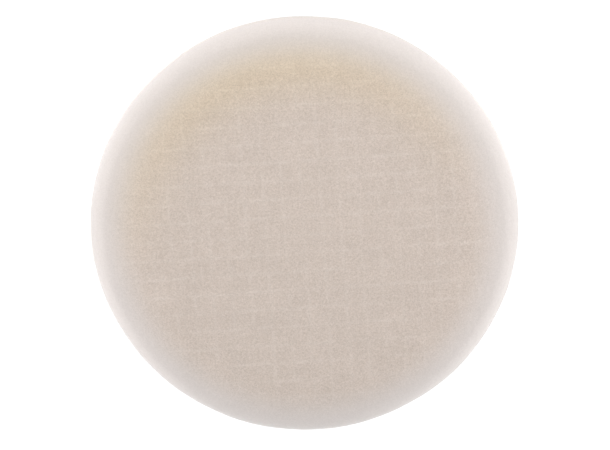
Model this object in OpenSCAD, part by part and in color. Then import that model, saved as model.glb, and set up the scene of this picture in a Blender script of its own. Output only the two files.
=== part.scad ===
// Foam polishing pad for a hook-and-loop backing plate, in millimetres.
// It lies on its loop backing: the origin is the centre of the face that grips the plate,
// and +Z runs through the laminate to the working face. Every layer is bonded to the next.

/* [Foam] */
// Greatest diameter of the foam, at its rim
foam_d = 150; // [146:1:156]
// Thickness of the foam, from the glue line to the working face
foam_t = 25; // [24:0.5:30]
// Diameter of the flat middle of the working face
face_d = 102; // [96:1:108]
// Radius of the long, shallow rounding between the flat middle and the rim
crown_r = 65; // [60:1:90]
// Radius of the tight rounding at the rim
rim_r = 8; // [6:0.5:9]
// How far the foam stands out past the backing at the glue line
heel_lip = 0.5; // [0.2:0.1:1]

/* [Loop backing] */
// Diameter of the die-cut backing laminate
backing_d = 140; // [132:1:142]
// Height of the brushed nylon loops, which the pad lies on
pile_t = 1.6; // [1:0.1:3]
// Thickness of the knitted ground that the loops stand in
knit_t = 0.6; // [0.4:0.05:1]
// Thickness of the resin coat that locks the loops into the knit
binder_t = 0.15; // [0.1:0.05:0.3]
// Thickness of the hot-melt film between the backing and the foam
glue_t = 0.2; // [0.1:0.05:0.4]

/* [Hidden] */

$fn = 128;
// Straight steps along each rounded stretch of the foam's section
rim_steps = 24;
crown_steps = 8;

// Heights of the faces where one layer ends and the next begins
knit_z = pile_t;
binder_z = knit_z + knit_t;
glue_z = binder_z + binder_t;
foam_z = glue_z + glue_t;
top_z = foam_z + foam_t;

// The crown starts level at the edge of the flat middle and runs smoothly into the rim
face_r = face_d / 2;
crown_c = [face_r, top_z - crown_r];
crown_a = asin((foam_d / 2 - rim_r - face_r) / (crown_r - rim_r));
rim_c = crown_c + (crown_r - rim_r) * [sin(crown_a), cos(crown_a)];

// The side rises straight from the heel and meets the rim's rounding smoothly,
// leaning out by side_a degrees from upright
heel = [backing_d / 2 + heel_lip, foam_z];
to_rim = rim_c - heel;
side_a = 90 - atan2(to_rim[1], to_rim[0]) + asin(rim_r / norm(to_rim));

// Points of an arc about c, from angle a0 to angle a1, counted from +X
function arc(c, r, a0, a1, steps) =
    [for (i = [0 : steps]) let (a = a0 + (a1 - a0) * i / steps) c + r * [cos(a), sin(a)]];

// Half of the foam's section: heel, leaning side, rim, crown and flat middle
module foam_section() {
    rim = arc(rim_c, rim_r, -side_a, 90 - crown_a, rim_steps);
    crown = arc(crown_c, crown_r, 90 - crown_a, 90, crown_steps);
    crown_past_rim = [for (i = [1 : crown_steps]) crown[i]];
    polygon(concat([[0, foam_z], heel], rim, crown_past_rim, [[0, top_z]]));
}

// One die-cut layer of the backing, from height z upwards
module backing_layer(z, thickness) {
    translate([0, 0, z]) cylinder(d = backing_d, h = thickness);
}

// Block of open-cell polyurethane foam, cut to a crowned disc that narrows towards its back
module foam_disc() {
    color("#D1C3B9") rotate_extrude() foam_section();
}

// Hot-melt film that holds the backing on the foam
module adhesive_film() {
    color("#D9CFAE") backing_layer(glue_z, glue_t);
}

// Resin coat on the back of the knit, which stops the loops from pulling out
module binder_coat() {
    color("#E6E4DC") backing_layer(binder_z, binder_t);
}

// Warp-knitted nylon ground that carries the loops
module ground_knit() {
    color("#DCDAD4") backing_layer(knit_z, knit_t);
}

// Brushed loops that the hooks of the backing plate catch, as one block of their full height
module loop_pile() {
    color("#EDEBE6") backing_layer(0, pile_t);
}

foam_disc();
adhesive_film();
binder_coat();
ground_knit();
loop_pile();
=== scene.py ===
"""Looks of a round foam polishing pad with a bonded loop backing.

The CAD frame gives every layer's place and size. Each layer is built here again as its own
piece with the shape and finish of the real material, and stands for its CAD node.
"""

import logging
import math
from dataclasses import dataclass, field
from enum import Enum

import bmesh
import bpy
import numpy as np
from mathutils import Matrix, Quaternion, Vector, noise


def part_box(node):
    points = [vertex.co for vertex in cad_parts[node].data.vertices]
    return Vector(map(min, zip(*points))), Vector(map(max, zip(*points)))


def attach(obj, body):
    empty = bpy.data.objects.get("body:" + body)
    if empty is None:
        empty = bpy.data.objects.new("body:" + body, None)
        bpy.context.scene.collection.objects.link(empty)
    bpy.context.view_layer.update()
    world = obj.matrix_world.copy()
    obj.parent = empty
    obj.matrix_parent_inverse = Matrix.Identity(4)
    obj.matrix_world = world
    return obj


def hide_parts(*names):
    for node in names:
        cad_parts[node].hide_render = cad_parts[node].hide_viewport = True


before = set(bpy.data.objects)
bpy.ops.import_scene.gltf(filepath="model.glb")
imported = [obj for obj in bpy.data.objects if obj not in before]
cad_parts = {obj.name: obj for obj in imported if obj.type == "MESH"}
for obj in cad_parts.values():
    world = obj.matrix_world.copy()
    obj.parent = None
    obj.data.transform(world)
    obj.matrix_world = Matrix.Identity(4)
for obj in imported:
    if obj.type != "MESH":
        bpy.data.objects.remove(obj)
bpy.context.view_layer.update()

LOG = logging.getLogger("polishing_pad")
MM = 0.001
BODY = "root"


# ---------------------------------------------------------------- colours and nodes


def linear(code: str) -> tuple[float, float, float, float]:
    """Turn an sRGB colour to the linear values that shaders take.

    Args:
        code: the colour as six hex digits after a hash.

    Returns:
        Linear red, green and blue, and an alpha of 1.
    """
    levels = [int(code[i : i + 2], 16) / 255 for i in (1, 3, 5)]
    parts = [v / 12.92 if v <= 0.04045 else ((v + 0.055) / 1.055) ** 2.4 for v in levels]
    return parts[0], parts[1], parts[2], 1.0


def add_node(
    tree: bpy.types.NodeTree, kind: str, settings: dict | None = None, links: dict | None = None
) -> bpy.types.Node:
    """Add a node with its settings and links.

    Args:
        tree: the node tree that gets the node.
        kind: Blender's name for the kind of node.
        settings: values by the name of a property, or by the name or number of an input.
        links: output sockets by the name or number of the input that each one feeds.

    Returns:
        The new node.
    """
    node = tree.nodes.new(kind)
    for key, value in (settings or {}).items():
        if isinstance(key, str) and hasattr(node, key):
            setattr(node, key, value)
        else:
            node.inputs[key].default_value = value
    for key, socket in (links or {}).items():
        tree.links.new(socket, node.inputs[key])
    return node


def new_tree(material: bpy.types.Material) -> bpy.types.NodeTree:
    """Give a material an empty node tree.

    Args:
        material: the material, which loses the nodes it had.

    Returns:
        Its node tree.
    """
    material.use_nodes = True
    material.node_tree.nodes.clear()
    return material.node_tree


def finish_tree(tree: bpy.types.NodeTree, shader: bpy.types.NodeSocket) -> None:
    """Join a shader to a new material output."""
    add_node(tree, "ShaderNodeOutputMaterial", links={"Surface": shader})


# ---------------------------------------------------------------- mesh tools


def points_of(piece: bpy.types.Object) -> np.ndarray:
    """Read a piece's vertices.

    Args:
        piece: the mesh to read.

    Returns:
        Rows of x, y and z in metres.
    """
    flat = np.zeros(len(piece.data.vertices) * 3)
    piece.data.vertices.foreach_get("co", flat)
    return flat.reshape(-1, 3)


def move_points(piece: bpy.types.Object, points: np.ndarray) -> None:
    """Put a piece's vertices at the rows of x, y and z given."""
    piece.data.vertices.foreach_set("co", points.astype(np.float32).ravel())
    piece.data.update()


def store_values(piece: bpy.types.Object, name: str, values: np.ndarray) -> None:
    """Keep one number a vertex on a piece, for its material to read."""
    attribute = piece.data.attributes.new(name, "FLOAT", "POINT")
    attribute.data.foreach_set("value", values.astype(np.float32))


def noise_at(points: np.ndarray, size: float, seed: float) -> np.ndarray:
    """Smooth noise from about -1 to 1 at each point.

    Args:
        points: rows of x, y and z in metres.
        size: how far apart the noise's hills lie, in metres.
        seed: a number that picks this noise out of all others.

    Returns:
        One value for each point.
    """
    shift = Vector((seed * 7.31, seed * 3.77, seed * 5.13))
    scaled = points / size
    return np.array([noise.noise(Vector(p) + shift) for p in scaled])


def start_piece(name: str) -> bpy.types.Object:
    """Name the primitive that was just added.

    Args:
        name: the new piece's name.

    Returns:
        The piece.
    """
    piece = bpy.context.object
    piece.name = name
    piece.data.name = name
    return piece


def round_lattice(name: str, splits: tuple[int, ...]) -> bpy.types.Object:
    """Make a flat disc of even triangles with a radius of 1.

    A six-sided fan is split into small triangles, which lie in rings of 6, 12, 18 and more
    points. Each ring is then moved from a hexagon to a circle.

    Args:
        name: the new piece's name.
        splits: into how many parts each edge is split, one round of splitting after another.

    Returns:
        The disc, in the plane z = 0.
    """
    bpy.ops.object.select_all(action="DESELECT")
    bpy.ops.mesh.primitive_circle_add(vertices=6, radius=1.0, fill_type="TRIFAN")
    disc = start_piece(name)
    bpy.ops.object.mode_set(mode="EDIT")
    bpy.ops.mesh.select_all(action="SELECT")
    for parts in splits:
        bpy.ops.mesh.subdivide(number_cuts=parts - 1)
    bpy.ops.object.mode_set(mode="OBJECT")
    points = points_of(disc)
    sixth = math.pi / 3
    tip = points[np.hypot(points[:, 0], points[:, 1]).argmax()]
    corner = math.atan2(tip[1], tip[0])
    turn = np.arctan2(points[:, 1], points[:, 0])
    middle = corner + (np.floor((turn - corner) / sixth) + 0.5) * sixth
    across = points[:, 0] * np.cos(middle) + points[:, 1] * np.sin(middle)
    along = points[:, 1] * np.cos(middle) - points[:, 0] * np.sin(middle)
    ring = across / math.cos(sixth / 2)
    share = along / np.maximum(across * math.tan(sixth / 2), 1e-9)
    turn = middle + share * sixth / 2
    rounded = np.stack([ring * np.cos(turn), ring * np.sin(turn), 0 * ring], axis=1)
    move_points(disc, rounded)
    return disc


def select_open_edges(piece: bpy.types.Object) -> None:
    """In edit mode, select the edges that have a face on one side only, and nothing else.

    Args:
        piece: the mesh that is in edit mode.
    """
    bpy.ops.mesh.select_all(action="DESELECT")
    bpy.ops.mesh.select_mode(type="EDGE")
    mesh = bmesh.from_edit_mesh(piece.data)
    for edge in mesh.edges:
        edge.select = edge.is_boundary
    mesh.select_flush_mode()
    bmesh.update_edit_mesh(piece.data)


def face_outwards() -> None:
    """In edit mode, turn every face of a closed piece outwards."""
    bpy.ops.mesh.select_all(action="SELECT")
    bpy.ops.mesh.normals_make_consistent(inside=False)


def smooth(piece: bpy.types.Object, angle_deg: float) -> None:
    """Shade a piece smooth, apart from its sharp edges.

    Args:
        piece: the finished mesh.
        angle_deg: the angle between two faces past which their edge stays sharp.
    """
    bpy.ops.object.select_all(action="DESELECT")
    piece.select_set(True)
    bpy.context.view_layer.objects.active = piece
    bpy.ops.object.shade_smooth_by_angle(angle=math.radians(angle_deg))


def place(piece: bpy.types.Object, node: str, material: bpy.types.Material) -> None:
    """Dress a finished piece and let it stand for its CAD node.

    Args:
        piece: the finished mesh, in the frame's own place.
        node: the CAD node that it stands for.
        material: its finish.
    """
    piece.data.materials.clear()
    piece.data.materials.append(material)
    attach(piece, BODY)
    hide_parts(node)
    LOG.info("%s: %d faces, stands for %s", piece.name, len(piece.data.polygons), node)


# ---------------------------------------------------------------- finishes


@dataclass(frozen=True)
class FoamFinish:
    """Open-cell polyurethane foam, sliced from a block and not skinned.

    Its cut cell walls scatter light in every direction, so it is fully matte, and the fuzz of
    broken walls whitens it where it is lit or seen at a grazing angle. Real cells, about
    0.4 mm across, are too fine to show one by one from far away, so they are drawn as pits
    0.42 mm apart among coarser clusters of 0.66 mm.
    """

    strut: str = "#E6D9D1"
    pore: str = "#B8A798"
    # Rim colour: partly the paler die-cut foam, partly painted light for the brightly lit rim.
    pale_rim_and_painted_light: str = "#D4CFCE"
    rim_share: float = 0.65
    print_colour: str = "#F0EAE4"
    print_share: float = 0.18
    # Painted warm light: the yellow tint of the near shoulder, where warm light falls.
    painted_warm_tint: str = "#FFFBEC"
    cell: float = 0.66 * MM
    cell_spread: float = 0.4
    pit: float = 0.42 * MM
    # Painted shade: how dark the middle of each open cell is drawn, as shade falls in it.
    hole_shade: float = 0.78
    mottle: float = 9 * MM
    mottle_share: float = 0.025
    mottle_range: tuple[float, float] = (0.3, 0.7)
    pit_range: tuple[float, float] = (0.1, 0.45)
    roughness: float = 0.95
    specular: float = 0.15
    sheen: float = 0.6
    sheen_roughness: float = 0.6
    bump_depth: float = 0.06 * MM

    def cells(
        self,
        tree: bpy.types.NodeTree,
        place_of: bpy.types.NodeSocket,
        pits: bpy.types.NodeSocket,
    ) -> bpy.types.NodeSocket:
        """Draw dark pores between pale cell walls, with painted shade in the open cells, in faint
        clouds a thumb wide.

        Args:
            tree: the foam's node tree.
            place_of: where on the pad a point lies.
            pits: how far a point lies from the middle of the nearest open cell.

        Returns:
            The colour of the flat, freshly sliced foam.
        """
        grain = add_node(
            tree,
            "ShaderNodeTexNoise",
            {"Scale": 1 / self.cell, "Detail": 4.0, "Roughness": 0.65},
            {"Vector": place_of},
        )
        wall = add_node(
            tree,
            "ShaderNodeMapRange",
            {"From Min": 0.5 - self.cell_spread, "From Max": 0.5 + self.cell_spread},
            {"Value": grain.outputs["Fac"]},
        )
        colour = add_node(
            tree,
            "ShaderNodeMix",
            {"data_type": "RGBA", 6: linear(self.pore), 7: linear(self.strut)},
            {0: wall.outputs["Result"]},
        )
        clouds = add_node(
            tree,
            "ShaderNodeTexNoise",
            {"Scale": 1 / self.mottle, "Detail": 3.0, "Roughness": 0.6},
            {"Vector": place_of},
        )
        shade = add_node(
            tree,
            "ShaderNodeMapRange",
            {
                "From Min": self.mottle_range[0],
                "From Max": self.mottle_range[1],
                "To Min": 1 - self.mottle_share,
                "To Max": 1 + self.mottle_share,
            },
            {"Value": clouds.outputs["Fac"]},
        )
        # Painted shade: each open cell darker towards its middle, where shade falls in the pit.
        holes = add_node(
            tree,
            "ShaderNodeMapRange",
            {
                "From Min": self.pit_range[0],
                "From Max": self.pit_range[1],
                "To Min": self.hole_shade,
                "To Max": 1.0,
            },
            {"Value": pits},
        )
        shaded = add_node(
            tree,
            "ShaderNodeMath",
            {"operation": "MULTIPLY"},
            {0: shade.outputs["Result"], 1: holes.outputs["Result"]},
        )
        clouded = add_node(
            tree,
            "ShaderNodeVectorMath",
            {"operation": "SCALE"},
            {0: colour.outputs[2], "Scale": shaded.outputs[0]},
        )
        return clouded.outputs[0]

    def blend(
        self,
        tree: bpy.types.NodeTree,
        ground: bpy.types.NodeSocket,
        mark: str,
        colour: str,
        share: float,
        way: str = "MIX",
    ) -> bpy.types.NodeSocket:
        """Lay a colour over the ground where the foam carries a mark.

        Args:
            tree: the foam's node tree.
            ground: the colour so far.
            mark: the name of the values, from 0 to 1, that the piece keeps for the mark.
            colour: the mark's colour.
            share: how much of the colour shows where the mark is 1.
            way: MIX to cover the ground, or MULTIPLY to tint it.

        Returns:
            The colour with the mark on it.
        """
        values = add_node(tree, "ShaderNodeAttribute", {"attribute_name": mark})
        amount = add_node(
            tree,
            "ShaderNodeMath",
            {"operation": "MULTIPLY", 1: share},
            {0: values.outputs["Fac"]},
        )
        mixed = add_node(
            tree,
            "ShaderNodeMix",
            {"data_type": "RGBA", "blend_type": way, 7: linear(colour)},
            {0: amount.outputs[0], 6: ground},
        )
        return mixed.outputs[2]

    def material(self) -> bpy.types.Material:
        """Build the foam's material, which reads the marks that the piece carries."""
        made = bpy.data.materials.new("open_cell_polyurethane_foam")
        tree = new_tree(made)
        place_of = add_node(tree, "ShaderNodeTexCoord").outputs["Object"]
        pits = add_node(
            tree,
            "ShaderNodeTexVoronoi",
            {"Scale": 1 / self.pit, "Randomness": 1.0},
            {"Vector": place_of},
        )
        colour = self.cells(tree, place_of, pits.outputs["Distance"])
        colour = self.blend(tree, colour, "imprint", self.print_colour, self.print_share)
        # The rim whiter and with less grain towards the edge: partly the paler die-cut foam, partly
        # painted light for the brightly lit rim.
        colour = self.blend(tree, colour, "cut", self.pale_rim_and_painted_light, self.rim_share)
        # Painted warm light: the near shoulder tinted yellow, where warm light falls.
        colour = self.blend(tree, colour, "aged", self.painted_warm_tint, 1.0, "MULTIPLY")
        cut = add_node(tree, "ShaderNodeAttribute", {"attribute_name": "cut"})
        open_cells = add_node(
            tree,
            "ShaderNodeMath",
            {"operation": "MULTIPLY_ADD", 1: -self.rim_share, 2: 1.0},
            {0: cut.outputs["Fac"]},
        )
        height = add_node(
            tree,
            "ShaderNodeMath",
            {"operation": "MULTIPLY"},
            {0: pits.outputs["Distance"], 1: open_cells.outputs[0]},
        )
        bump = add_node(
            tree,
            "ShaderNodeBump",
            {"Strength": 1.0, "Distance": self.bump_depth},
            {"Height": height.outputs[0]},
        )
        shader = add_node(
            tree,
            "ShaderNodeBsdfPrincipled",
            {
                "Roughness": self.roughness,
                "Specular IOR Level": self.specular,
                "Sheen Weight": self.sheen,
                "Sheen Roughness": self.sheen_roughness,
            },
            {"Base Color": colour, "Normal": bump.outputs["Normal"]},
        )
        finish_tree(tree, shader.outputs[0])
        return made


@dataclass(frozen=True)
class FilmFinish:
    """A thin cast layer, of which only the edge shows.

    Hot-melt film is amber and slightly glossy, and a coat of acrylic resin is chalky and satin.
    """

    name: str
    colour: str
    dark: str
    roughness: float
    patch: float = 2.5 * MM
    ripple: float = 0.7 * MM
    ripple_depth: float = 0.05 * MM

    def material(self) -> bpy.types.Material:
        """Build the film's material: cloudy colour and a slightly rippled surface."""
        made = bpy.data.materials.new(self.name)
        tree = new_tree(made)
        place_of = add_node(tree, "ShaderNodeTexCoord").outputs["Object"]
        cloud = add_node(
            tree,
            "ShaderNodeTexNoise",
            {"Scale": 1 / self.patch, "Detail": 3.0},
            {"Vector": place_of},
        )
        colour = add_node(
            tree,
            "ShaderNodeMix",
            {"data_type": "RGBA", 6: linear(self.dark), 7: linear(self.colour)},
            {0: cloud.outputs["Fac"]},
        )
        ripple = add_node(
            tree,
            "ShaderNodeTexNoise",
            {"Scale": 1 / self.ripple, "Detail": 2.0},
            {"Vector": place_of},
        )
        bump = add_node(
            tree,
            "ShaderNodeBump",
            {"Strength": 0.6, "Distance": self.ripple_depth},
            {"Height": ripple.outputs["Fac"]},
        )
        shader = add_node(
            tree,
            "ShaderNodeBsdfPrincipled",
            {"Roughness": self.roughness},
            {"Base Color": colour.outputs[2], "Normal": bump.outputs["Normal"]},
        )
        finish_tree(tree, shader.outputs[0])
        return made


@dataclass(frozen=True)
class NylonFinish:
    """Nylon yarn of many fine filaments: off-white, satin, with the soft sheen of loose fibre.

    The filaments themselves are too fine to show, so their grain is drawn at 0.25 mm.
    """

    name: str
    colour: str
    shade: str
    yarn: float = 0.25 * MM
    patch: float = 6 * MM
    grain_range: tuple[float, float] = (0.1, 0.4)
    roughness: float = 0.55
    sheen: float = 0.4
    sheen_roughness: float = 0.35
    depth: float = 0.05 * MM

    def material(self) -> bpy.types.Material:
        """Build the yarn's material: filament grain in the colour and in the surface."""
        made = bpy.data.materials.new(self.name)
        tree = new_tree(made)
        place_of = add_node(tree, "ShaderNodeTexCoord").outputs["Object"]
        grain = add_node(
            tree,
            "ShaderNodeTexNoise",
            {"Scale": 1 / self.yarn, "Detail": 3.0, "Roughness": 0.6},
            {"Vector": place_of},
        )
        patch = add_node(
            tree,
            "ShaderNodeTexNoise",
            {"Scale": 1 / self.patch, "Detail": 2.0},
            {"Vector": place_of},
        )
        amount = add_node(
            tree,
            "ShaderNodeMath",
            {"operation": "MULTIPLY"},
            {0: grain.outputs["Fac"], 1: patch.outputs["Fac"]},
        )
        spread = add_node(
            tree,
            "ShaderNodeMapRange",
            {"From Min": self.grain_range[0], "From Max": self.grain_range[1]},
            {"Value": amount.outputs[0]},
        )
        colour = add_node(
            tree,
            "ShaderNodeMix",
            {"data_type": "RGBA", 6: linear(self.shade), 7: linear(self.colour)},
            {0: spread.outputs["Result"]},
        )
        bump = add_node(
            tree,
            "ShaderNodeBump",
            {"Strength": 0.5, "Distance": self.depth},
            {"Height": grain.outputs["Fac"]},
        )
        shader = add_node(
            tree,
            "ShaderNodeBsdfPrincipled",
            {
                "Roughness": self.roughness,
                "Sheen Weight": self.sheen,
                "Sheen Roughness": self.sheen_roughness,
            },
            {"Base Color": colour.outputs[2], "Normal": bump.outputs["Normal"]},
        )
        finish_tree(tree, shader.outputs[0])
        return made


# ---------------------------------------------------------------- foam


@dataclass(frozen=True)
class FoamSection:
    """Half of the foam's section, from the centre of the working face round to the heel.

    The flat middle runs into a long shallow crown, the crown into the tight rounding at the
    rim, and the rim into a straight side that leans in towards the heel.
    """

    rim: float
    heel: float
    low: float
    high: float
    face: float = 51 * MM
    crown: float = 65 * MM
    edge: float = 8 * MM

    def crown_angle(self) -> float:
        """How far the surface has turned down where the crown meets the rim's rounding."""
        return math.asin((self.rim - self.edge - self.face) / (self.crown - self.edge))

    def edge_centre(self) -> tuple[float, float]:
        """Radius and height of the centre of the rim's rounding."""
        reach = self.crown - self.edge
        turn = self.crown_angle()
        return self.rim - self.edge, self.high - self.crown + reach * math.cos(turn)

    def side_angle(self) -> float:
        """How far the side leans in from upright, as a tangent from the heel to the rim."""
        across, up = self.edge_centre()
        run = across - self.heel
        rise = up - self.low
        return math.pi / 2 - math.atan2(rise, run) + math.asin(self.edge / math.hypot(run, rise))

    def stretches(self) -> tuple[float, float, float, float]:
        """Lengths of the flat middle, crown, rim and side along the section."""
        lean = self.side_angle()
        top = self.edge_centre()[1] - self.edge * math.sin(lean)
        crown = self.crown * self.crown_angle()
        rounding = self.edge * (math.pi / 2 - self.crown_angle() + lean)
        return self.face, crown, rounding, (top - self.low) / math.cos(lean)

    def at(self, share: np.ndarray) -> tuple[np.ndarray, np.ndarray, np.ndarray]:
        """Find points on the section.

        Args:
            share: how far along the section each point lies, from 0 at the centre to 1.

        Returns:
            Each point's radius, its height, and how far its normal has turned from upright.
        """
        flat, crown, rounding, side = self.stretches()
        way = share * (flat + crown + rounding + side)
        across, up = self.edge_centre()
        lean = self.side_angle()
        on_crown = np.clip((way - flat) / self.crown, 0, self.crown_angle())
        on_edge = np.clip((way - flat - crown) / self.edge, 0, rounding / self.edge)
        on_side = np.clip(way - flat - crown - rounding, 0, side)
        turn = on_crown + on_edge
        radius = np.minimum(way, flat) + self.crown * np.sin(on_crown)
        height = self.high - self.crown * (1 - np.cos(on_crown))
        past = way > flat + crown
        radius = np.where(past, across + self.edge * np.sin(turn), radius)
        height = np.where(past, up + self.edge * np.cos(turn), height)
        return radius - on_side * math.sin(lean), height - on_side * math.cos(lean), turn


@dataclass
class FoamDisc:
    """The foam: a crowned disc with a soft rim, a square imprint and an uneven cut.

    Lengths are in metres and turns of the surface in radians from upright.
    """

    splits: tuple[int, ...] = (5, 2, 2, 2, 2, 2)
    heel_lip: float = 0.5 * MM
    back_rings: tuple[float, ...] = (0.985, 0.5)
    finish: FoamFinish = field(default_factory=FoamFinish)
    # Unevenness: of the outline, of the surface, and of the torn cells
    wobble: float = 0.3 * MM
    wobble_size: float = 45 * MM
    wobble_fine_share: float = 0.35
    wobble_power: int = 6
    swell: float = 0.22 * MM
    swell_size: float = 26 * MM
    torn: float = 0.07 * MM
    torn_size: float = 1.1 * MM
    torn_flat_share: float = 0.35
    most_lift: float = 0.2 * MM
    fixed_heel: float = 2 * MM
    # Square imprint of the working face
    grid_pitch: float = 6.61 * MM
    grid_turn_deg: float = 3.75
    grid_width: float = 0.48 * MM
    grid_relief: float = 0.06 * MM
    grid_wander: float = 0.35 * MM
    grid_wander_size: float = 11 * MM
    grid_break_size: float = 4 * MM
    grid_break: tuple[float, float] = (0.55, 0.95)
    grid_phase: tuple[float, float] = (0.03, 0.0)
    grid_strength: tuple[float, float] = (0.7, 1.0)
    grid_reach: tuple[float, float] = (58 * MM, 67 * MM)
    # Smooth ramp of the whiter rim, partly the paler die-cut foam and partly painted light for the
    # brightly lit rim, and how much of it the side has
    cut_reach: tuple[float, float] = (57 * MM, 71 * MM)
    side_cut: float = 0.4
    side_turn: float = 1.2
    side_blend: float = 0.6
    # Painted warm light: a yellow tint on the shoulder of the near side, where warm light falls, with
    # its widths inwards and outwards
    aged_heading_deg: float = -75
    aged_radius: float = 60 * MM
    aged_width: tuple[float, float] = (11 * MM, 7.5 * MM)
    aged_turn: float = 1.0

    def section(self) -> FoamSection:
        """Read the foam's place from the frame and give its section."""
        low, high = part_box("foam_disc")
        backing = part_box("adhesive_film")[1]
        return FoamSection(high.x, backing.x + self.heel_lip, low.z, high.z)

    def grid_lines(self, points: np.ndarray) -> np.ndarray:
        """How much of the square imprint each point of the face carries, from 0 to 1.

        Args:
            points: rows of x, y and z on the foam.

        Returns:
            1 on the middle of an unbroken line, 0 between lines and outside the face.
        """
        turn = math.radians(self.grid_turn_deg)
        flat = points * (1, 1, 0)
        drift = self.grid_wander * noise_at(flat, self.grid_wander_size, 3.0)
        strength = np.zeros(len(points))
        for axis, phase in enumerate(self.grid_phase):
            angle = turn + axis * math.pi / 2
            along = points[:, 0] * math.cos(angle) + points[:, 1] * math.sin(angle) + drift
            steps = along / self.grid_pitch - phase
            off = (steps - np.round(steps)) * self.grid_pitch
            line = np.exp(-((off / self.grid_width) ** 2))
            whole, patchy = self.grid_break
            breaks = whole + patchy * noise_at(flat, self.grid_break_size, 5.0 + axis)
            printed = self.grid_strength[axis] * line * np.clip(breaks, 0, 1)
            strength = np.maximum(strength, printed)
        radius = np.hypot(points[:, 0], points[:, 1])
        near, far = self.grid_reach
        return strength * np.clip((far - radius) / (far - near), 0, 1) * (points[:, 2] > 0)

    def shape(self, disc: bpy.types.Object, section: FoamSection) -> None:
        """Lay the even disc over the foam's section and give it its unevenness.

        Args:
            disc: the flat lattice with a radius of 1.
            section: the foam's section.
        """
        flat = points_of(disc)
        share = np.hypot(flat[:, 0], flat[:, 1])
        around = np.arctan2(flat[:, 1], flat[:, 0])
        radius, height, turn = section.at(share)
        circle = np.stack([np.cos(around), np.sin(around), 0 * around], axis=1)
        rough = noise_at(circle * section.rim, self.wobble_size, 1.0)
        fine = noise_at(circle * section.rim, self.wobble_size / 5, 2.0)
        rough += self.wobble_fine_share * fine
        outer = (radius / section.rim) ** self.wobble_power * self.wobble * rough
        points = circle * (radius + outer)[:, None] + (0, 0, 1) * height[:, None]
        normal = circle * np.sin(turn)[:, None] + (0, 0, 1) * np.cos(turn)[:, None]
        # Mask of the whiter rim: partly the paler die-cut foam, partly painted light for the brightly
        # lit rim.
        near, far = self.cut_reach
        cut = np.clip((radius - near) / (far - near), 0, 1)
        cut = cut * cut * (3 - 2 * cut)
        under = np.clip((turn - self.side_turn) / self.side_blend, 0, 1)
        cut += (self.side_cut - cut) * under
        imprint = self.grid_lines(points)
        # Painted warm light: a yellow band on the near shoulder, facing the near side's light.
        facing = np.cos(around - math.radians(self.aged_heading_deg))
        width = np.where(radius < self.aged_radius, *self.aged_width)
        aged = np.exp(-(((radius - self.aged_radius) / width) ** 2))
        aged *= np.clip(facing, 0, 1) * (turn < self.aged_turn)
        lift = self.swell * noise_at(points, self.swell_size, 8.0)
        tearing = self.torn_flat_share + (1 - self.torn_flat_share) * cut
        lift += self.torn * tearing * noise_at(points, self.torn_size, 9.0)
        lift += self.grid_relief * imprint
        fixed = np.clip((height - section.low) / self.fixed_heel, 0, 1)
        lift = np.minimum(lift, self.most_lift) * fixed
        move_points(disc, points + normal * lift[:, None])
        store_values(disc, "imprint", imprint)
        store_values(disc, "cut", cut)
        store_values(disc, "aged", aged)

    def close_back(self, disc: bpy.types.Object, section: FoamSection) -> None:
        """Close the open heel with a flat back, in rings that end in one point.

        Args:
            disc: the shaped foam, still open at the heel.
            section: the foam's section, which gives the back's middle.
        """
        bpy.ops.object.mode_set(mode="EDIT")
        centre = (0.0, 0.0, section.low)
        for share in self.back_rings:
            select_open_edges(disc)
            bpy.ops.mesh.extrude_edges_move()
            bpy.ops.transform.resize(value=(share, share, share), center_override=centre)
        select_open_edges(disc)
        bpy.ops.mesh.extrude_edges_move()
        bpy.ops.mesh.merge(type="CENTER")
        face_outwards()
        bpy.ops.object.mode_set(mode="OBJECT")

    def build(self) -> bpy.types.Object:
        """Build the foam and let it stand for its CAD node."""
        section = self.section()
        disc = round_lattice("foam_body", self.splits)
        self.shape(disc, section)
        self.close_back(disc, section)
        smooth(disc, 50)
        place(disc, "foam_disc", self.finish.material())
        return disc


# ---------------------------------------------------------------- loop backing


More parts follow.
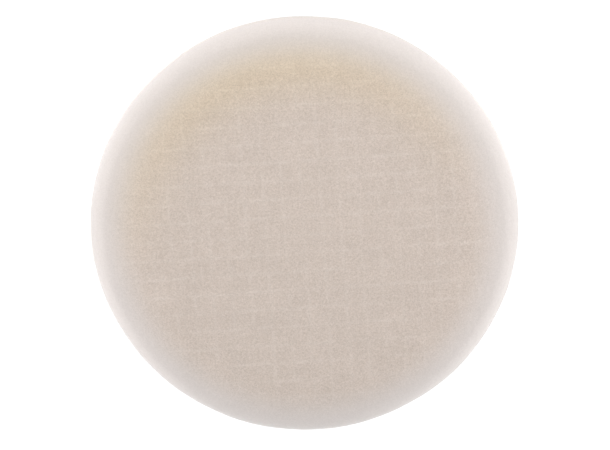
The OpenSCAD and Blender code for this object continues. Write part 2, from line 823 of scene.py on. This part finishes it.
@dataclass
class CastLayer:
    """A thin cast layer between foam and knit, with a slightly squeezed-out edge."""

    node: str
    slot: str
    name: str
    finish: FilmFinish
    bulge: float = 0.15 * MM
    edge_steps: int = 720
    wobble: float = 0.12 * MM
    wobble_size: float = 3 * MM
    wave_size: float = 14 * MM
    corner_share: float = 0.4
    edge_from: float = 0.99

    def select_rims(self, layer: bpy.types.Object, middle: float, thick: float) -> None:
        """In edit mode, select the round edges of the upper and lower face, and nothing else.

        Args:
            layer: the disc that is in edit mode.
            middle: the height halfway up the disc.
            thick: the disc's thickness.
        """
        bpy.ops.mesh.select_all(action="DESELECT")
        bpy.ops.mesh.select_mode(type="EDGE")
        mesh = bmesh.from_edit_mesh(layer.data)
        for edge in mesh.edges:
            ends = [vertex.co.z - middle for vertex in edge.verts]
            far = all(abs(end) > thick / 4 for end in ends)
            edge.select = far and abs(ends[0] - ends[1]) < thick / 4
        bmesh.update_edit_mesh(layer.data)

    def build(self) -> bpy.types.Object:
        """Build the layer and let it stand for its CAD node."""
        low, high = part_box(self.node)
        thick = high.z - low.z
        middle = (low.z + high.z) / 2
        bpy.ops.object.select_all(action="DESELECT")
        bpy.ops.mesh.primitive_cylinder_add(
            vertices=self.edge_steps, radius=high.x, depth=thick, location=(0, 0, middle)
        )
        bpy.ops.object.transform_apply(location=True, rotation=False, scale=False)
        layer = start_piece(self.name)
        bpy.ops.object.mode_set(mode="EDIT")
        self.select_rims(layer, middle, thick)
        bpy.ops.mesh.bevel(offset=thick * self.corner_share, segments=2, affect="EDGES")
        bpy.ops.object.mode_set(mode="OBJECT")
        points = points_of(layer)
        radius = np.hypot(points[:, 0], points[:, 1])
        rough = noise_at(points, self.wobble_size, 21.0) + noise_at(points, self.wave_size, 22.0)
        belly = 1 - np.abs(points[:, 2] - middle) / (thick / 2)
        edge = radius > high.x * self.edge_from
        push = edge * (self.bulge * belly + self.wobble * rough)
        points[:, :2] *= (1 + push / np.maximum(radius, MM))[:, None]
        move_points(layer, points)
        smooth(layer, 60)
        place(layer, self.node, self.finish.material())
        return layer


@dataclass
class GroundKnit:
    """The warp-knitted ground: a thin cloth disc with a ridge for each row of stitches.

    The rows of a real ground lie closer, too fine to show, so the ridges are drawn 2.4 mm apart.
    """

    finish: NylonFinish
    splits: tuple[int, ...] = (3, 5, 2, 2, 2)
    ridge_pitch: float = 2.4 * MM
    ridge_depth: float = 0.06 * MM
    fray: float = 0.25 * MM
    fray_size: float = 1.5 * MM
    edge_share: float = 0.015

    def build(self) -> bpy.types.Object:
        """Build the cloth and let it stand for its CAD node."""
        low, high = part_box("ground_knit")
        thick = high.z - low.z
        cloth = round_lattice("knitted_ground", self.splits)
        points = points_of(cloth) * (high.x, high.x, 1)
        radius = np.hypot(points[:, 0], points[:, 1])
        edge = np.clip((radius / high.x - (1 - self.edge_share)) / self.edge_share, 0, 1)
        outward = points / np.maximum(radius, MM)[:, None]
        ridge = np.cos(points[:, 0] * 2 * math.pi / self.ridge_pitch)
        points[:, 2] = high.z - self.ridge_depth * (1 - ridge) / 2
        fray = edge * self.fray * noise_at(points, self.fray_size, 31.0)
        points += outward * fray[:, None]
        move_points(cloth, points)
        wall = cloth.modifiers.new("thickness", "SOLIDIFY")
        wall.thickness = thick - self.ridge_depth
        wall.offset = -1.0
        bpy.context.view_layer.objects.active = cloth
        bpy.ops.object.modifier_apply(modifier=wall.name)
        smooth(cloth, 50)
        place(cloth, "ground_knit", self.finish.material())
        return cloth


class RowPlace(Enum):
    """Where a set of loop rows stands in the knit: on the even or on the odd wales."""

    STRAIGHT = 0.0
    STAGGERED = 0.5


@dataclass
class LoopRows:
    """Rows of brushed nylon loops that hang from the knit, which the plate's hooks catch.

    Real loops are of finer yarn and stand closer, too fine to show, so fewer and thicker ones
    are drawn.
    """

    finish: bpy.types.Material
    where: RowPlace
    name: str
    spacing: float = 1.6 * MM
    yarn: float = 0.2 * MM
    width: float = 1.15 * MM
    sink: float = 0.15 * MM
    edge_gap: float = 0.35 * MM
    lean_deg: float = 24
    turn_spread: float = 0.7
    root_spread: float = 0.16
    heights: tuple[float, float] = (0.8, 1.0)
    widths: tuple[float, float] = (0.8, 1.25)
    lowest: float = 0.02 * MM
    seed: int = 7

    def one_loop(self, height: float) -> bpy.types.Object:
        """Model one loop: a thin three-sided tube bent in an arch that hangs down.

        Args:
            height: the loop's height, from the knit's underside.

        Returns:
            The loop, hanging from the origin.
        """
        bpy.ops.object.select_all(action="DESELECT")
        bpy.ops.mesh.primitive_circle_add(
            vertices=3, radius=self.yarn / 2, fill_type="NOTHING", location=(self.width / 2, 0, 0)
        )
        bpy.ops.object.transform_apply(location=True, rotation=False, scale=False)
        loop = start_piece(self.name)
        bpy.ops.object.mode_set(mode="EDIT")
        bpy.ops.mesh.select_all(action="SELECT")
        bpy.ops.mesh.spin(steps=5, angle=math.pi, center=(0, 0, 0), axis=(0, 1, 0))
        bpy.ops.object.mode_set(mode="OBJECT")
        points = points_of(loop)
        points[:, 2] = -np.abs(points[:, 2])
        points[:, 2] *= height / -points[:, 2].min()
        move_points(loop, points)
        return loop

    def spread(self, loop: bpy.types.Object, radius: float) -> None:
        """Repeat the loop over a square that covers the backing, with Array modifiers.

        Args:
            loop: the single loop.
            radius: the backing's radius.
        """
        count = int(2 * radius / self.spacing) + 2
        bpy.context.view_layer.objects.active = loop
        for axis in range(2):
            array = loop.modifiers.new("rows", "ARRAY")
            array.count = count
            array.use_relative_offset = False
            array.use_constant_offset = True
            offset = [0.0, 0.0, 0.0]
            offset[axis] = self.spacing
            array.constant_offset_displace = offset
            bpy.ops.object.modifier_apply(modifier=array.name)

    def scatter(self, points: np.ndarray) -> np.ndarray:
        """Bring the even loops under the knit, and lean, turn, size and shift each by chance.

        Args:
            points: the loops' vertices, as one table of rows for each loop.

        Returns:
            The moved vertices, in the same order.
        """
        low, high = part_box("loop_pile")
        roots = points.mean(axis=1) * (1, 1, 0)
        local = points - roots[:, None]
        shift = self.spacing * int(high.x / self.spacing)
        roots[:, :2] += self.where.value * self.spacing - shift
        draw = np.random.default_rng(self.seed + int(self.where.value * 2))
        turn = draw.normal(0, self.turn_spread, len(roots))[:, None]
        lean = np.radians(draw.normal(0, self.lean_deg, len(roots)))[:, None]
        tall = draw.uniform(*self.heights, len(roots))[:, None]
        roots[:, :2] += draw.normal(0, self.root_spread * self.spacing, (len(roots), 2))
        x = local[:, :, 0] * tall * draw.uniform(*self.widths, len(roots))[:, None]
        y = local[:, :, 1] + local[:, :, 2] * np.sin(lean)
        z = local[:, :, 2] * tall * np.cos(lean)
        across = x * np.cos(turn) - y * np.sin(turn)
        along = x * np.sin(turn) + y * np.cos(turn)
        made = np.stack([across, along, z], axis=2) + roots[:, None]
        made[:, :, 2] = np.maximum(made[:, :, 2] + high.z + self.sink, low.z + self.lowest)
        return made

    def drop(self, loop: bpy.types.Object, gone: np.ndarray) -> None:
        """Delete vertices, and with them the loops that they make.

        Args:
            loop: the mesh of all the loops.
            gone: for each vertex, whether it is deleted.
        """
        bpy.ops.object.mode_set(mode="EDIT")
        bpy.ops.mesh.select_mode(type="VERT")
        bpy.ops.mesh.select_all(action="DESELECT")
        mesh = bmesh.from_edit_mesh(loop.data)
        for vertex in mesh.verts:
            vertex.select = bool(gone[vertex.index])
        bmesh.update_edit_mesh(loop.data)
        bpy.ops.mesh.delete(type="VERT")
        bpy.ops.object.mode_set(mode="OBJECT")

    def build(self) -> bpy.types.Object:
        """Build the rows and let them stand for the loop layer's CAD node."""
        low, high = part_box("loop_pile")
        loop = self.one_loop(high.z - low.z + self.sink)
        per_loop = len(loop.data.vertices)
        self.spread(loop, high.x)
        made = self.scatter(points_of(loop).reshape(-1, per_loop, 3))
        reach = np.hypot(made[:, :, 0], made[:, :, 1]).max(axis=1)
        outside = reach > high.x - self.edge_gap
        move_points(loop, made.reshape(-1, 3))
        self.drop(loop, np.repeat(outside, per_loop))
        smooth(loop, 180)
        place(loop, "loop_pile", self.finish)
        return loop


# ---------------------------------------------------------------- studio


def direction(heading_deg: float, height_deg: float) -> Vector:
    """Point from the pad's middle towards a light.

    Args:
        heading_deg: the heading, counted from +X.
        height_deg: the height over the floor.

    Returns:
        The unit vector that points there.
    """
    heading = math.radians(heading_deg)
    height = math.radians(height_deg)
    flat = math.cos(height)
    return Vector((flat * math.cos(heading), flat * math.sin(heading), math.sin(height)))


@dataclass(frozen=True)
class SkySpot:
    """A wide, soft spot of light on the sky: a white wall far away."""

    name: str
    heading_deg: float
    height_deg: float
    strength: float
    tightness: float


@dataclass(frozen=True)
class Softbox:
    """A square softbox that faces the pad, on one or on both sides of it."""

    name: str
    headings_deg: tuple[float, ...]
    height_deg: float
    distance: float
    side: float
    watts: float

    def build(self) -> None:
        """Hang a box at each heading, which the camera doesn't see."""
        for number, heading_deg in enumerate(self.headings_deg):
            place_of = direction(heading_deg, self.height_deg) * self.distance
            bpy.ops.object.select_all(action="DESELECT")
            bpy.ops.object.light_add(type="AREA", location=place_of)
            box = bpy.context.object
            box.name = f"{self.name}_{number}"
            box.rotation_mode = "QUATERNION"
            box.rotation_quaternion = place_of.to_track_quat("Z", "Y")
            box.visible_camera = False
            box.data.shape = "SQUARE"
            box.data.size = self.side
            box.data.energy = self.watts


@dataclass
class Studio:
    """Pale floor, soft light from all round, and the camera."""

    floor_side: float = 30.0
    floor_colour: str = "#EDEDED"
    floor_shade: str = "#8A8A8A"
    floor_glow: float = 0.86
    backdrop: float = 1.0
    tilt_deg: float = 15.2
    distance: float = 960 * MM
    view_width: float = 214.8 * MM
    aim: tuple[float, float, float] = (-0.1 * MM, 0.0, 15.15 * MM)
    spots: tuple[SkySpot, ...] = (
        SkySpot("far_ceiling", 90, 60, 1.68, 6.0),
        SkySpot("near_wall", -90, 30, 1.13, 8.0),
        SkySpot("far_skirting", 90, 3, 4.0, 60.0),
    )
    boxes: tuple[Softbox, ...] = (
        Softbox("near_low", (-90,), 9, 0.5, 0.14, 1.07),
        Softbox("side_low", (0, 180), 9, 0.5, 0.14, 0.68),
        Softbox("back_low", (25, 155), 9, 0.5, 0.14, 0.76),
        Softbox("near_high", (-90,), 55, 0.4, 0.25, 0.33),
        Softbox("side_high", (0, 180), 55, 0.4, 0.25, 0.17),
    )

    def floor(self) -> bpy.types.Object:
        """Lay a plain white sweep.

        It lights the pad from below as white paper does, and the camera sees it nearly white
        all over, with only a faint shadow where the pad stands.
        """
        bpy.ops.object.select_all(action="DESELECT")
        bpy.ops.mesh.primitive_plane_add(size=self.floor_side)
        ground = start_piece("floor")
        made = bpy.data.materials.new("white_paper_sweep")
        tree = new_tree(made)
        seen = add_node(tree, "ShaderNodeLightPath").outputs["Is Camera Ray"]
        glow = add_node(
            tree,
            "ShaderNodeMath",
            {"operation": "MULTIPLY", 1: self.floor_glow},
            {0: seen},
        )
        paper = add_node(
            tree,
            "ShaderNodeMix",
            {"data_type": "RGBA", 6: linear(self.floor_colour), 7: linear(self.floor_shade)},
            {0: seen},
        )
        shader = add_node(
            tree,
            "ShaderNodeBsdfPrincipled",
            {
                "Roughness": 1.0,
                "Specular IOR Level": 0.0,
                "Emission Color": (1, 1, 1, 1),
            },
            {"Base Color": paper.outputs[2], "Emission Strength": glow.outputs[0]},
        )
        finish_tree(tree, shader.outputs[0])
        ground.data.materials.append(made)
        return ground

    def sky(self) -> None:
        """Light the scene from the spots of the sky, and give it a plain pale backdrop."""
        world = bpy.data.worlds.new("soft_studio")
        bpy.context.scene.world = world
        world.use_nodes = True
        tree = world.node_tree
        tree.nodes.clear()
        towards = add_node(tree, "ShaderNodeTexCoord").outputs["Generated"]
        total = None
        for spot in self.spots:
            middle = direction(spot.heading_deg, spot.height_deg)
            facing = add_node(
                tree,
                "ShaderNodeVectorMath",
                {"operation": "DOT_PRODUCT", 1: middle},
                {0: towards},
            )
            front = add_node(
                tree, "ShaderNodeMath", {"operation": "MAXIMUM", 1: 0.0}, {0: facing.outputs["Value"]}
            )
            soft = add_node(
                tree,
                "ShaderNodeMath",
                {"operation": "POWER", 1: spot.tightness},
                {0: front.outputs[0]},
            )
            light = add_node(
                tree,
                "ShaderNodeMath",
                {"operation": "MULTIPLY_ADD", 1: spot.strength, 2: 0.0, "label": spot.name},
                {0: soft.outputs[0]},
            )
            if total is not None:
                tree.links.new(total, light.inputs[2])
            total = light.outputs[0]
        seen = add_node(tree, "ShaderNodeLightPath").outputs["Is Camera Ray"]
        shown = add_node(
            tree,
            "ShaderNodeMix",
            {"data_type": "FLOAT", 3: self.backdrop},
            {0: seen, 2: total},
        )
        glow = add_node(tree, "ShaderNodeBackground", links={"Strength": shown.outputs[0]})
        glow.inputs["Color"].default_value = (1, 1, 1, 1)
        add_node(tree, "ShaderNodeOutputWorld", links={"Surface": glow.outputs[0]})

    def camera(self) -> bpy.types.Object:
        """Hang the camera nearly straight above the pad, turned half round.

        The edge of the pad that is nearer to the camera is then at the top of the picture.
        """
        tilt = math.radians(self.tilt_deg)
        bpy.ops.object.select_all(action="DESELECT")
        away = Vector((0, -math.sin(tilt), math.cos(tilt)))
        bpy.ops.object.camera_add(location=Vector(self.aim) + away * self.distance)
        made = bpy.context.object
        made.rotation_mode = "QUATERNION"
        made.rotation_quaternion = Quaternion((1, 0, 0), tilt) @ Quaternion((0, 0, 1), math.pi)
        made.data.sensor_width = 36.0
        made.data.lens = made.data.sensor_width * self.distance / self.view_width
        made.data.clip_start = 10 * MM
        bpy.context.scene.camera = made
        return made

    def build(self) -> None:
        """Set up the camera, floor and light."""
        self.camera()
        self.floor()
        self.sky()
        for box in self.boxes:
            box.build()
        bpy.context.scene.view_settings.view_transform = "Standard"
        LOG.info("studio: camera %.0f mm away", self.distance / MM)


# ---------------------------------------------------------------- the pad


@dataclass
class Backing:
    """The bonded laminate under the foam: film, resin coat, knit and loops."""

    film: FilmFinish = FilmFinish("hot_melt_film", "#DDD2B0", "#C9BB93", 0.35)
    resin: FilmFinish = FilmFinish("acrylic_binder_coat", "#E8E6DE", "#D6D3C8", 0.5)
    knit: NylonFinish = NylonFinish("knitted_nylon_ground", "#DEDCD6", "#BAB6AD")
    loops: NylonFinish = NylonFinish("brushed_nylon_loops", "#F0EEE9", "#D2CFC7")

    def build(self) -> None:
        """Build the four layers from the foam downwards."""
        CastLayer("adhesive_film", "hot_melt_film", "hot_melt_layer", self.film).build()
        CastLayer("binder_coat", "binder_resin", "resin_layer", self.resin, bulge=0.05 * MM).build()
        loops = self.loops.material()
        for where in RowPlace:
            LoopRows(loops, where, f"loop_rows_{where.name.lower()}").build()
        GroundKnit(self.knit).build()


def main() -> None:
    """Build the studio and the pad, layer by layer."""
    logging.basicConfig(level=logging.INFO, format="%(message)s")
    Studio().build()
    FoamDisc().build()
    Backing().build()


if __name__ == "__main__":
    main()
